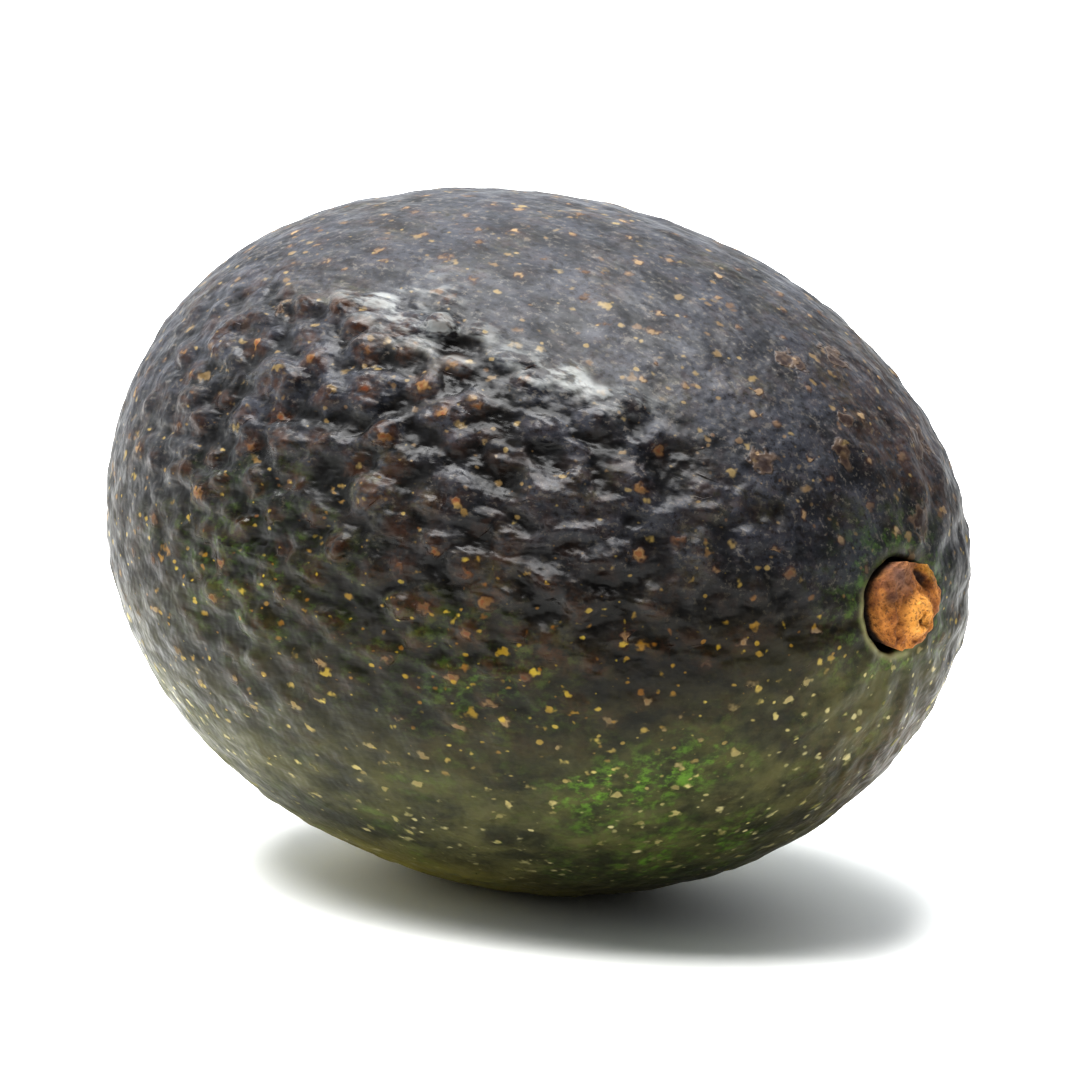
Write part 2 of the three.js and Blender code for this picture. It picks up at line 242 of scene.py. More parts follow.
def skin(towards):
    """Points of the finished skin and what the material needs to know at each."""
    place = smooth_skin(towards)
    rough = roughness_map(towards, place)
    bend = bend_of(place)
    swells, knobs, nearest = pebbles(place, bend, large_tops)
    small_swells = pebbles(place, 0.5 * bend, small_tops)[0]
    along = towards[:, 0]
    fine_side = smoothstep(0.3, -0.35, along)
    ridge_noise = noise_at(place, 5.4, 5.5, stretch=2.0)
    ridge_noise = ridge_noise + 0.5 * noise_at(place, 2.6, 8.8, stretch=1.7)
    ridges = 1 - np.minimum(np.abs(ridge_noise) * LINE_SHARPNESS, 1)
    crumple = noise_at(place, 1.9, 2.2, stretch=1.4) + 0.5 * noise_at(place, 1.1, 7.7, stretch=1.3)
    long_noise = noise_at(place, 3.6, 15.3, stretch=4.5)
    folds = 1 - np.minimum(np.abs(long_noise) * LINE_SHARPNESS, 1)
    stem_side = smoothstep(0.1, 0.7, along)
    relief = (SWELL_HEIGHT * (1 - 0.4 * stem_side - 0.4 * fine_side) * (swells - 0.3)
              + SMALL_HEIGHT * (0.35 + 0.65 * fine_side) * (small_swells - 0.3)
              + KNOB_HEIGHT * (knobs - 0.15)
              + RIDGE_HEIGHT * smoothstep(-0.6, 0.0, along) * (ridges - 0.5)
              + FOLD_HEIGHT * stem_side * (folds - 0.5)
              + CRUMPLE_HEIGHT * crumple)
    undulation = 0.12 * noise_at(place, 5.0, 40.1, stretch=2.5)
    undulation = undulation + 0.06 * noise_at(place, 2.0, 44.4, stretch=2.5)
    undulation = undulation * away_from_flat(place)
    from_stem = np.linalg.norm(place - STEM_PLACE, axis=1)
    from_blossom = np.linalg.norm(place - BLOSSOM_PLACE, axis=1)
    turn = np.arctan2(place[:, 2] - STEM_PLACE[2], place[:, 1] - STEM_PLACE[1])
    pleats = np.sin(13 * turn + 3 * noise_at(place, 7, 50.3)) * bell(from_stem - 13, 7.5)
    ends = (LIP_HEIGHT * bell(from_stem - LIP_RADIUS, LIP_WIDTH)
            - DIMPLE_DEPTH * bell(from_stem, DIMPLE_RADIUS)
            - BLOSSOM_PIT_DEPTH * bell(from_blossom, BLOSSOM_PIT_RADIUS) + 0.2 * pleats)
    rise = lumps(towards, place) + ends + undulation + rough * relief
    points = place + outward(towards) * rise[:, None]
    return points, {"rough": rough, "relief": relief, "nearest": nearest, "place": place}


def to_row(points):
    """From the fruit's own frame in millimetres to the row's frame in metres."""
    c, s = math.cos(REST_TILT), math.sin(REST_TILT)
    turned = np.stack([
        c * points[:, 0] + s * points[:, 2],
        points[:, 1],
        c * points[:, 2] - s * points[:, 0],
    ], axis=1)
    return (turned + FRUIT_MIDDLE) * MM


def button_outline(angle):
    return BUTTON_RADIUS * (1 + 0.01 * np.cos(2 * angle) + 0.035 * np.sin(3 * angle + 0.7)
                            + 0.02 * np.sin(7 * angle + 2))


# The stem's own frame: u to the side, v up, out along the way out of the skin
STEM_OUT = outward(STEM_TOWARDS[None])[0]
STEM_U = unit(np.cross([0, 0, 1.0], STEM_OUT))
STEM_V = np.cross(STEM_OUT, STEM_U)


def clear_selection():
    bpy.ops.object.select_all(action="DESELECT")


def name_piece(name):
    piece = bpy.context.active_object
    piece.name = name
    piece.data.name = name
    return piece


def set_points(mesh, points):
    mesh.vertices.foreach_set("co", points.astype(np.float32).ravel())
    mesh.update()


def get_points(mesh):
    points = np.zeros(len(mesh.vertices) * 3, np.float32)
    mesh.vertices.foreach_get("co", points)
    return points.reshape(-1, 3).astype(float)


def store(mesh, name, values):
    """Keeps a number or a point for each vertex, for the material to read."""
    kind, key = ("FLOAT", "value") if values.ndim == 1 else ("FLOAT_VECTOR", "vector")
    attribute = mesh.attributes.new(name, kind, "POINT")
    attribute.data.foreach_set(key, values.astype(np.float32).ravel())


def face_outwards(piece):
    clear_selection()
    bpy.context.view_layer.objects.active = piece
    piece.select_set(True)
    bpy.ops.object.mode_set(mode="EDIT")
    bpy.ops.mesh.select_all(action="SELECT")
    bpy.ops.mesh.normals_make_consistent(inside=False)
    bpy.ops.object.mode_set(mode="OBJECT")
    bpy.ops.object.shade_smooth()
    clear_selection()


# The skin: a ball whose pole is at the stem. Its first rings line the seat of the button.
SEAT_PROFILE = np.array([
    # share of the seat's outline, depth below the skin
    [0.0, 2.9], [0.55, 2.9], [0.93, 2.85], [0.96, 2.2], [0.975, 1.5], [0.985, 0.9],
    [0.995, 0.5], [1.01, 0.24], [1.035, 0.09], [1.07, 0.0],
])

clear_selection()
bpy.ops.mesh.primitive_uv_sphere_add(segments=SKIN_SEGMENTS, ring_count=SKIN_RINGS, radius=1)
fruit = name_piece("fruit_skin")
ball = get_points(fruit.data)
ring = np.rint(np.arccos(np.clip(ball[:, 2], -1, 1)) / math.pi * SKIN_RINGS).astype(int)
turn = np.arctan2(ball[:, 1], ball[:, 0])
seat_rings = len(SEAT_PROFILE)
gap_width = SEAT_GAP * (1 + 0.3 * np.cos(turn - math.radians(215))) + 0.06 * np.sin(5 * turn)
seat_radius = button_outline(turn) + gap_width
seat_angle = seat_radius / (HALF_WIDTH * (1 - STEM_TAPER + END_FULLNESS))
share = np.interp(ring, np.arange(seat_rings), SEAT_PROFILE[:, 0])
depth = np.where(ring < seat_rings, np.interp(ring, np.arange(seat_rings), SEAT_PROFILE[:, 1]), 0)
step = np.clip((ring - seat_rings + 1) / (SKIN_RINGS - seat_rings + 1), 0, 1)
eased = step * (0.55 + 0.45 * step)
edge = seat_angle * SEAT_PROFILE[-1, 0]
polar = np.where(ring < seat_rings, seat_angle * share, edge + (math.pi - edge) * eased)
to_side = unit(np.cross([0, 0, 1.0], STEM_TOWARDS))
to_above = np.cross(STEM_TOWARDS, to_side)
towards = (np.cos(polar)[:, None] * STEM_TOWARDS
           + (np.sin(polar) * np.cos(turn))[:, None] * to_side
           + (np.sin(polar) * np.sin(turn))[:, None] * to_above)
points, facts = skin(towards)
points = points - STEM_OUT * depth[:, None]
row_points = to_row(points)
row_points[:, 2] = np.maximum(row_points[:, 2], 0)
set_points(fruit.data, row_points)
face_outwards(fruit)

# What the skin's material reads
place = facts["place"]
along = towards[:, 0]
up = height_round(towards)
top_towards = large_tops["towards"]
dot_shift = DOT_SCATTER * random.uniform(-1, 1, top_towards.shape)
dot_shift = dot_shift + np.array([0, 0, -DOT_DROP])
top_row = to_row(skin(unit(top_towards + dot_shift))[0])
from_stem = np.linalg.norm(place - STEM_PLACE, axis=1)
nearest_row = top_row[facts["nearest"]]
gap = np.linalg.norm(row_points - nearest_row, axis=1)
blotch = noise_at(place, 14, 60.7, stretch=1.4)
small_blotch = noise_at(place, 5, 71.9, stretch=1.4)
level = np.degrees(np.arctan2(towards[:, 2], np.hypot(towards[:, 1], END_BLUR)))
low = 1 - smoothstep(-48, 2, level + 14 * blotch)
warm = 1 - smoothstep(-5, 32, level + 10 * blotch)
olive = low * (1 - 0.5 * smoothstep(-0.3, -0.85, along))
olive = olive * (1 - 0.7 * near(towards, [0.85, 0.25, -0.45], 0.4))
green = np.clip(
    0.75 * near(towards, [0.75, -0.53, -0.40], 0.11)
    + 0.75 * near(towards, [0.60, -0.62, -0.50], 0.12)
    + 0.8 * near(towards, [0.61, -0.32, -0.73], 0.2) + 0.4 * near(towards, [0.4, -0.9, -0.15], 0.2)
    + 0.3 * near(towards, [-0.1, -0.98, 0.05], 0.26) + 0.35 * bell(from_stem - 5, 4)
    + 0.4 * near(towards, [0.2, 0.8, -0.5], 0.5) + 0.4 * small_blotch * (0.2 + low), 0, 1)
brown = np.clip(0.25 * near(towards, [0.35, -0.93, 0.05], 0.4)
                + 0.5 * near(towards, [0.84, 0.22, 0.49], 0.25)
                + 0.6 * near(towards, [0.93, -0.14, -0.29], 0.2)
                + near(towards, [0.85, 0.2, -0.5], 0.3)
                + 0.5 * near(towards, [-0.5, 0.8, -0.1], 0.5) + 0.4 * small_blotch, 0, 1)
# Where the wax is rubbed white, with a painted highlight: a line along the upper edge of the rough
# band and a patch above it
wax_and_highlight_line = bell(up + 4 * along - 52 + 5 * blotch, 4.5) * smoothstep(-0.3, 0.1, along)
wax_and_highlight_line = wax_and_highlight_line * (1 - smoothstep(0.5, 0.75, along))
wax_and_highlight_patch = 0.9 * near(towards, [0.04, -0.6, 0.8], 0.1)
wax_and_highlight = np.clip(wax_and_highlight_line * (0.7 + 0.9 * small_blotch) + wax_and_highlight_patch, 0, 1)
scabs = [
    # direction, reach
    ([0.70, -0.06, 0.71], 0.045), ([0.70, 0.12, 0.70], 0.045), ([0.83, -0.03, 0.56], 0.03),
    ([0.87, -0.09, 0.485], 0.04), ([0.81, -0.33, 0.48], 0.04), ([0.84, 0.27, 0.46], 0.07),
    ([0.95, 0.12, 0.27], 0.05), ([-0.28, -0.65, 0.70], 0.03),
]
scab = np.max([near(towards, centre, reach) for centre, reach in scabs], axis=0)
store(fruit.data, "relief", facts["relief"])
store(fruit.data, "rough", facts["rough"])
store(fruit.data, "green", green)
store(fruit.data, "brown", brown)
store(fruit.data, "wax_and_highlight", wax_and_highlight)
store(fruit.data, "low", low)
store(fruit.data, "warm", warm)
store(fruit.data, "olive", olive)
store(fruit.data, "cap_tint", 1 - 0.8 * smoothstep(0.05, 0.5, along) * smoothstep(-5, 25, level))
# The skin's own yellow olive on the underside, painted lighter to stand in for light from the floor
store(fruit.data, "painted_underside_light",
      smoothstep(0.74, 0.99, -towards[:, 2]) * (1 - smoothstep(-0.1, 0.5, along)))
store(fruit.data, "scab", scab)
# Depth down the seat round the stem button, which the material paints near black as shade and makes
# rougher
store(fruit.data, "seat", np.clip(smoothstep(0.05, 0.6, depth), 0, 1))
store(fruit.data, "lip", bell(from_stem - 5.4, 0.4) * (depth < 0.2)
      * (0.15 + 0.85 * smoothstep(0.0, 0.8, np.cos(turn - math.radians(225)))))
store(fruit.data, "top", nearest_row)
store(fruit.data, "top_gap", gap)
store(fruit.data, "pick", top_pick[facts["nearest"]])

# The stem button: a plug with a rounded, crumbly crown
BUTTON_SEGMENTS = 160
BUTTON_RINGS = 96
CROWN_RINGS = 72
FOOT_RINGS = 4
FOOT_TAPER = 0.14
# Places on the crown: u to the side and v up, in millimetres from its middle
STUB_U = 0.6
STUB_V = -1.1
STUB_RADIUS = 1.8
STUB_RISE = 0.9
PIT_U = 1.1
PIT_V = -1.5
PIT_RADIUS = 0.8
PIT_DEPTH = 1.3
CREVICE_U = 1.9
CREVICE_V = 2.3
CREVICE_TURN = -0.85
CREVICE_LENGTH = 1.4
CREVICE_WIDTH = 0.55
CREVICE_DEPTH = 1.2


def crown(u, v, share):
    """Height of the button's crown, and how deep in a hollow each place is, from 0 to 1."""
    flat_place = np.stack([u, v, 0 * u], axis=1)
    to_stub = np.hypot(u - STUB_U, v - STUB_V)
    c, s = math.cos(CREVICE_TURN), math.sin(CREVICE_TURN)
    along = (u - CREVICE_U) * c + (v - CREVICE_V) * s
    across = (v - CREVICE_V) * c - (u - CREVICE_U) * s
    crumbs = 0.3 * noise_at(flat_place, 1.5, 3.3) + 0.3 * noise_at(flat_place, 0.7, 6.1)
    rings = 0.08 * np.sin(7.5 * to_stub + 2 * noise_at(flat_place, 2, 9.9)) * bell(to_stub, 2.6)
    folds = 0.12 * np.sin(4.2 * u + noise_at(flat_place, 1.6, 20.4)) * smoothstep(-0.8, -2.4, u)
    to_pit = np.hypot(u - PIT_U, v - PIT_V)
    pit = bell(to_pit, PIT_RADIUS * (1 + 0.35 * noise_at(flat_place, 0.7, 14.2)))
    crevice = bell(along, CREVICE_LENGTH) * bell(across, CREVICE_WIDTH)
    stub = smoothstep(STUB_RADIUS + 0.7, STUB_RADIUS - 0.6, to_stub)
    height = (BUTTON_RISE + crumbs + rings + folds - RIM_DROP * share**6
              + STUB_RISE * stub - PIT_DEPTH * pit - CREVICE_DEPTH * crevice)
    return height, np.clip(0.65 * pit + crevice, 0, 1)


clear_selection()
bpy.ops.mesh.primitive_uv_sphere_add(segments=BUTTON_SEGMENTS, ring_count=BUTTON_RINGS, radius=1)
button = name_piece("stem_button_cork")
ball = get_points(button.data)
ring = np.rint(np.arccos(np.clip(ball[:, 2], -1, 1)) / math.pi * BUTTON_RINGS).astype(int)
turn = np.arctan2(ball[:, 1], ball[:, 0])
share = np.clip(ring / CROWN_RINGS, 0, 1)
ragged = 1 + 0.018 * np.sin(11 * turn + 1.0) * np.sin(5 * turn)
radius = button_outline(turn) * ragged * share
height, hollow = crown(radius * np.cos(turn), radius * np.sin(turn), share)
below = np.clip((ring - CROWN_RINGS) / (BUTTON_RINGS - CROWN_RINGS - FOOT_RINGS), 0, 1)
height = height * (1 - below) - BUTTON_DEPTH * below
foot = np.clip((BUTTON_RINGS - ring) / FOOT_RINGS, 0, 1)
radius = radius * (1 - FOOT_TAPER * below) * foot
u = radius * np.cos(turn)
v = radius * np.sin(turn)
stem_lump = lumps(STEM_TOWARDS[None], STEM_PLACE[None])[0]
stem_base = STEM_PLACE + STEM_OUT * (stem_lump - DIMPLE_DEPTH)
points = (stem_base + STEM_OUT * height[:, None] + STEM_U * u[:, None] + STEM_V * v[:, None])
set_points(button.data, to_row(points))
face_outwards(button)
store(button.data, "hollow", hollow)
store(button.data, "side", smoothstep(0.3, 0.55, below))
store(button.data, "stub", smoothstep(2.6, 1.5, np.hypot(u - STUB_U, v - STUB_V)))
store(button.data, "grey", bell(np.hypot(u + 1.4, v - 2.9), 1.8))
store(button.data, "stain", bell(np.hypot(u + 2.9, v - 1.0), 0.9))
store(button.data, "rim", bell(np.hypot(u - 3.0, v - 3.1), 1.2) * smoothstep(0.75, 0.85, share))


# Materials
def linear(colour):
    """An sRGB hex colour as the linear values that a shader wants."""
    shares = [int(colour[i:i + 2], 16) / 255 for i in (1, 3, 5)]
    values = [x / 12.92 if x <= 0.04045 else ((x + 0.055) / 1.055) ** 2.4 for x in shares]
    return (*values, 1.0)


def add(tree, kind, inputs, **settings):
    """Adds a node, sets it up, sets or links its inputs, and gives its outputs."""
    made = tree.nodes.new(kind)
    for key, value in settings.items():
        setattr(made, key, value)
    for key, value in inputs.items():
        if isinstance(value, bpy.types.NodeSocket):
            tree.links.new(value, made.inputs[key])
        else:
            made.inputs[key].default_value = value
    return made.outputs


SOFT = {"interpolation_type": "SMOOTHSTEP"}  # a range mapped with soft ends


def new_material(name):
    material = bpy.data.materials.new(name)
    material.use_nodes = True
    tree = material.node_tree
    tree.nodes.clear()
    return material, tree


# Avocado skin: a tough, leathery rind, purple-black when ripe, with a thin natural wax. The
# green of the unripe rind shows through below and round the stem, the tops of the pebbles are
# worn reddish brown, and cork dots (lenticels) of about 1 mm sit on them.
skin_material, tree = new_material("ripe_avocado_rind")
place_socket = add(tree, "ShaderNodeTexCoord", {})["Object"]

green_amount = add(tree, "ShaderNodeAttribute", {}, attribute_name="green")["Fac"]
brown_amount = add(tree, "ShaderNodeAttribute", {}, attribute_name="brown")["Fac"]
relief_amount = add(tree, "ShaderNodeAttribute", {}, attribute_name="relief")["Fac"]
rough_amount = add(tree, "ShaderNodeAttribute", {}, attribute_name="rough")["Fac"]
low_amount = add(tree, "ShaderNodeAttribute", {}, attribute_name="low")["Fac"]
wax_and_highlight_amount = add(tree, "ShaderNodeAttribute", {}, attribute_name="wax_and_highlight")["Fac"]
seat_amount = add(tree, "ShaderNodeAttribute", {}, attribute_name="seat")["Fac"]
lip_amount = add(tree, "ShaderNodeAttribute", {}, attribute_name="lip")["Fac"]
warm_amount = add(tree, "ShaderNodeAttribute", {}, attribute_name="warm")["Fac"]
olive_amount = add(tree, "ShaderNodeAttribute", {}, attribute_name="olive")["Fac"]
painted_underside_light_amount = add(tree, "ShaderNodeAttribute", {}, attribute_name="painted_underside_light")["Fac"]
cap_tint = add(tree, "ShaderNodeAttribute", {}, attribute_name="cap_tint")["Fac"]

blotches = add(tree, "ShaderNodeTexNoise", {
    "Vector": add(tree, "ShaderNodeMapping", {"Vector": place_socket, "Scale": (1 / 1.8, 1, 1)})[0],
    "Scale": 1 / (4.5 * MM),
    "Detail": 5,
    "Roughness": 0.65,
})["Fac"]
speckle = add(tree, "ShaderNodeTexNoise", {
    "Vector": add(tree, "ShaderNodeMapping", {"Vector": place_socket, "Scale": (1 / 1.4, 1, 1)})[0],
    "Scale": 1 / (0.9 * MM),
    "Detail": 3,
    "Roughness": 0.65,
})["Fac"]
streaky = add(tree, "ShaderNodeTexNoise", {
    "Vector": add(tree, "ShaderNodeMapping", {"Vector": place_socket, "Scale": (1 / 5, 1, 1)})[0],
    "Scale": 1 / (1.1 * MM),
    "Detail": 3,
    "Roughness": 0.6,
})["Fac"]
cool = add(tree, "ShaderNodeMix", {
    0: add(tree, "ShaderNodeMapRange", {0: blotches, 1: 0.35, 2: 0.65}, **SOFT)[0],
    6: linear("#111216"),
    7: linear("#313238"),
}, data_type="RGBA")[2]
warm_shade = add(tree, "ShaderNodeMix", {
    0: add(tree, "ShaderNodeMapRange", {0: blotches, 1: 0.35, 2: 0.65}, **SOFT)[0],
    6: linear("#0b0903"),
    7: linear("#1e190b"),
}, data_type="RGBA")[2]
colour = add(tree, "ShaderNodeMix", {
    0: warm_amount, 6: cool, 7: warm_shade,
}, data_type="RGBA")[2]
streak_shade = add(tree, "ShaderNodeMix", {
    0: warm_amount,
    6: linear("#373133"),
    7: linear("#1b170b"),
}, data_type="RGBA")[2]
colour = add(tree, "ShaderNodeMix", {
    0: add(tree, "ShaderNodeMapRange", {0: streaky, 1: 0.5, 2: 0.7, 3: 0.0, 4: 0.45}, **SOFT)[0],
    6: colour,
    7: streak_shade,
}, data_type="RGBA")[2]
mottle = add(tree, "ShaderNodeTexNoise", {
    "Vector": add(tree, "ShaderNodeMapping", {"Vector": place_socket, "Scale": (1 / 1.6, 1, 1)})[0],
    "Scale": 1 / (0.6 * MM),
    "Detail": 3,
    "Roughness": 0.7,
})["Fac"]
mottle_shade = add(tree, "ShaderNodeMix", {
    0: warm_amount,
    6: linear("#55504a"),
    7: linear("#241f10"),
}, data_type="RGBA")[2]
colour = add(tree, "ShaderNodeMix", {
    0: add(tree, "ShaderNodeMapRange", {0: mottle, 1: 0.54, 2: 0.66, 3: 0.0, 4: 0.6}, **SOFT)[0],
    6: colour,
    7: mottle_shade,
}, data_type="RGBA")[2]
colour = add(tree, "ShaderNodeMix", {
    0: add(tree, "ShaderNodeMapRange", {0: mottle, 1: 0.46, 2: 0.36, 3: 0.0, 4: 0.7}, **SOFT)[0],
    6: colour,
    7: linear("#100d0c"),
}, data_type="RGBA")[2]
colour = add(tree, "ShaderNodeMix", {
    0: add(tree, "ShaderNodeMath", {
        0: brown_amount,
        1: add(tree, "ShaderNodeMapRange", {0: speckle, 1: 0.35, 2: 0.6}, **SOFT)[0],
    }, operation="MULTIPLY")[0],
    6: colour,
    7: linear("#3d2513"),
}, data_type="RGBA")[2]
olive_shade = add(tree, "ShaderNodeMix", {
    0: add(tree, "ShaderNodeMapRange", {0: blotches, 1: 0.35, 2: 0.65}, **SOFT)[0],
    6: linear("#303121"),
    7: linear("#595838"),
}, data_type="RGBA")[2]
# painted light: the underside lightened to yellow olive for light from the floor, over its own
# olive
olive_shade = add(tree, "ShaderNodeMix", {
    0: painted_underside_light_amount,
    6: olive_shade,
    7: linear("#b3a750"),
}, data_type="RGBA")[2]
colour = add(tree, "ShaderNodeMix", {
    0: add(tree, "ShaderNodeMath", {
        0: olive_amount, 1: 0.75,
    }, operation="MULTIPLY")[0],
    6: colour,
    7: olive_shade,
}, data_type="RGBA")[2]
green_shade = add(tree, "ShaderNodeMix", {
    0: add(tree, "ShaderNodeMapRange", {0: speckle, 1: 0.35, 2: 0.65}, **SOFT)[0],
    6: linear("#2f3a1a"),
    7: linear("#5a7a2a"),
}, data_type="RGBA")[2]
green_grain = add(tree, "ShaderNodeTexNoise", {
    "Vector": add(tree, "ShaderNodeMapping", {"Vector": place_socket, "Scale": (1 / 1.8, 1, 1)})[0],
    "Scale": 1 / (1.5 * MM),
    "Detail": 3,
    "Roughness": 0.7,
})["Fac"]
green_share = add(tree, "ShaderNodeMath", {
    0: green_amount,
    1: add(tree, "ShaderNodeMapRange", {
        0: green_grain, 1: 0.44, 2: 0.6, 3: 0.12, 4: 1.0,
    }, **SOFT)[0],
}, operation="MULTIPLY")[0]
colour = add(tree, "ShaderNodeMix", {
    0: green_share, 6: colour, 7: green_shade,
}, data_type="RGBA")[2]

# Painted shade: near black in the valleys between the pebbles and along the creases that run along
# the fruit, where shade falls; and the redder worn tops
crease_noise = add(tree, "ShaderNodeTexNoise", {
    "Vector": add(tree, "ShaderNodeMapping", {"Vector": place_socket, "Scale": (1 / 3.4, 1, 1)})[0],
    "Scale": 1 / (3.6 * MM),
    "Detail": 1.5,
    "Roughness": 0.55,
})["Fac"]
crease_distance = add(tree, "ShaderNodeMath", {
    0: add(tree, "ShaderNodeMath", {0: crease_noise, 1: 0.5}, operation="SUBTRACT")[0],
}, operation="ABSOLUTE")[0]
crease_place = add(tree, "ShaderNodeMapRange", {
    0: add(tree, "ShaderNodeTexNoise", {
        "Vector": place_socket, "Scale": 1 / (7 * MM), "Detail": 1, "Roughness": 0.55,
    })["Fac"],
    1: 0.42,
    2: 0.6,
}, **SOFT)[0]
crease = add(tree, "ShaderNodeMath", {
    0: add(tree, "ShaderNodeMapRange", {0: crease_distance, 1: 0.1, 2: 0.0}, **SOFT)[0],
    1: crease_place,
}, operation="MULTIPLY")[0]
crease = add(tree, "ShaderNodeMath", {
    0: crease,
    1: add(tree, "ShaderNodeMapRange", {
        0: rough_amount, 1: 0.15, 2: 0.6, 3: 0.0, 4: 0.5,
    }, **SOFT)[0],
}, operation="MULTIPLY")[0]
top_share = add(tree, "ShaderNodeMath", {
    0: add(tree, "ShaderNodeMapRange", {0: relief_amount, 1: 0.1, 2: 0.6}, **SOFT)[0],
    1: rough_amount,
}, operation="MULTIPLY")[0]
top_share = add(tree, "ShaderNodeMath", {
    0: top_share, 1: cap_tint,
}, operation="MULTIPLY")[0]
painted_valley_shade = add(tree, "ShaderNodeMath", {
    0: add(tree, "ShaderNodeMapRange", {0: relief_amount, 1: 0.05, 2: -0.5}, **SOFT)[0],
    1: rough_amount,
}, operation="MULTIPLY")[0]
# painted shade: the valleys between the pebbles darkened to near black
colour = add(tree, "ShaderNodeMix", {
    0: add(tree, "ShaderNodeMath", {0: painted_valley_shade, 1: 0.9}, operation="MULTIPLY")[0],
    6: colour,
    7: linear("#060504"),
}, data_type="RGBA")[2]
colour = add(tree, "ShaderNodeMix", {
    0: add(tree, "ShaderNodeMath", {
        0: add(tree, "ShaderNodeMath", {
            0: top_share,
            1: add(tree, "ShaderNodeMapRange", {0: speckle, 1: 0.4, 2: 0.65}, **SOFT)[0],
        }, operation="MULTIPLY")[0],
        1: 0.55,
    }, operation="MULTIPLY")[0],
    6: colour,
    7: linear("#352110"),
}, data_type="RGBA")[2]
# painted shade: near black along the creases, which the bump also sinks
colour = add(tree, "ShaderNodeMix", {
    0: add(tree, "ShaderNodeMath", {0: crease, 1: 0.7}, operation="MULTIPLY")[0],
    6: colour,
    7: linear("#0a0706"),
}, data_type="RGBA")[2]

# Cork dots on the tops of the pebbles, 0.5 to 1.3 mm, lengthened along the fruit. On the rough
# skin each sits on a worn, reddish cap
pick = add(tree, "ShaderNodeAttribute", {}, attribute_name="pick")["Fac"]
top_of_pebble = add(tree, "ShaderNodeAttribute", {}, attribute_name="top")["Vector"]
towards_top = add(tree, "ShaderNodeVectorMath", {
    0: place_socket, 1: top_of_pebble,
}, operation="SUBTRACT")[0]
towards_top = add(tree, "ShaderNodeVectorMath", {
    0: towards_top, 1: (DOT_SQUEEZE, 1, 1),
}, operation="MULTIPLY")[0]
away = add(tree, "ShaderNodeVectorMath", {0: towards_top}, operation="LENGTH")["Value"]
away = add(tree, "ShaderNodeMath", {
    0: away,
    1: add(tree, "ShaderNodeMath", {
        0: add(tree, "ShaderNodeAttribute", {}, attribute_name="top_gap")["Fac"], 1: 0.4 * MM,
    }, operation="SUBTRACT")[0],
}, operation="MAXIMUM")[0]
wobble = add(tree, "ShaderNodeTexNoise", {
    "Vector": place_socket, "Scale": 1 / (0.8 * MM), "Detail": 1, "Roughness": 0.55,
})["Fac"]
ragged_away = add(tree, "ShaderNodeMath", {
    0: away,
    1: add(tree, "ShaderNodeMapRange", {
        0: wobble, 1: 0.3, 2: 0.7, 3: -0.25 * MM, 4: 0.25 * MM,
    }, **SOFT)[0],
}, operation="ADD")[0]
has_dot = add(tree, "ShaderNodeMath", {
    0: pick,
    1: add(tree, "ShaderNodeMapRange", {
        0: rough_amount, 1: 0.2, 2: 0.8, 3: 0.3, 4: 0.68,
    }, **SOFT)[0],
}, operation="GREATER_THAN")[0]
dot_size = add(tree, "ShaderNodeMapRange", {
    0: pick, 1: 0.25, 2: 1.0, 3: 0.1 * MM, 4: 0.5 * MM,
}, **SOFT)[0]
dot_size = add(tree, "ShaderNodeMath", {
    0: dot_size,
    1: add(tree, "ShaderNodeMapRange", {
        0: rough_amount, 1: 0.1, 2: 0.7, 3: 0.7, 4: 1.0,
    }, **SOFT)[0],
}, operation="MULTIPLY")[0]
past_dot = add(tree, "ShaderNodeMath", {
    0: ragged_away, 1: dot_size,
}, operation="SUBTRACT")[0]
dot = add(tree, "ShaderNodeMapRange", {
    0: past_dot,
    1: 0.18 * MM,
    2: -0.18 * MM,
}, **SOFT)[0]
dot = add(tree, "ShaderNodeMath", {0: dot, 1: has_dot}, operation="MULTIPLY")[0]
cap = add(tree, "ShaderNodeMapRange", {
    0: past_dot,
    1: 1.7 * MM,
    2: 0.3 * MM,
}, **SOFT)[0]
cap_share = add(tree, "ShaderNodeMath", {
    0: add(tree, "ShaderNodeMath", {0: cap, 1: rough_amount}, operation="MULTIPLY")[0],
    1: add(tree, "ShaderNodeMapRange", {0: speckle, 1: 0.3, 2: 0.6}, **SOFT)[0],
}, operation="MULTIPLY")[0]
cap_share = add(tree, "ShaderNodeMath", {
    0: cap_share, 1: cap_tint,
}, operation="MULTIPLY")[0]
colour = add(tree, "ShaderNodeMix", {
    0: add(tree, "ShaderNodeMath", {0: cap_share, 1: 0.6}, operation="MULTIPLY")[0],
    6: colour,
    7: linear("#351e0f"),
}, data_type="RGBA")[2]
ring_of_dot = add(tree, "ShaderNodeMapRange", {
    0: past_dot,
    1: 0.35 * MM,
    2: 0.05 * MM,
}, **SOFT)[0]
ring_colour = add(tree, "ShaderNodeMix", {
    0: low_amount, 6: linear("#35221a"), 7: linear("#3a431c"),
}, data_type="RGBA")[2]
colour = add(tree, "ShaderNodeMix", {
    0: add(tree, "ShaderNodeMath", {
        0: add(tree, "ShaderNodeMath", {0: ring_of_dot, 1: has_dot}, operation="MULTIPLY")[0],
        1: 0.6,
    }, operation="MULTIPLY")[0],
    6: colour,
    7: ring_colour,
}, data_type="RGBA")[2]
dot_pick = add(tree, "ShaderNodeMath", {
    0: add(tree, "ShaderNodeMath", {0: pick, 1: 7.3}, operation="MULTIPLY")[0],
}, operation="FRACT")[0]
rough_dot = add(tree, "ShaderNodeMix", {
    0: dot_pick, 6: linear("#3f2818"), 7: linear("#705430"),
}, data_type="RGBA")[2]
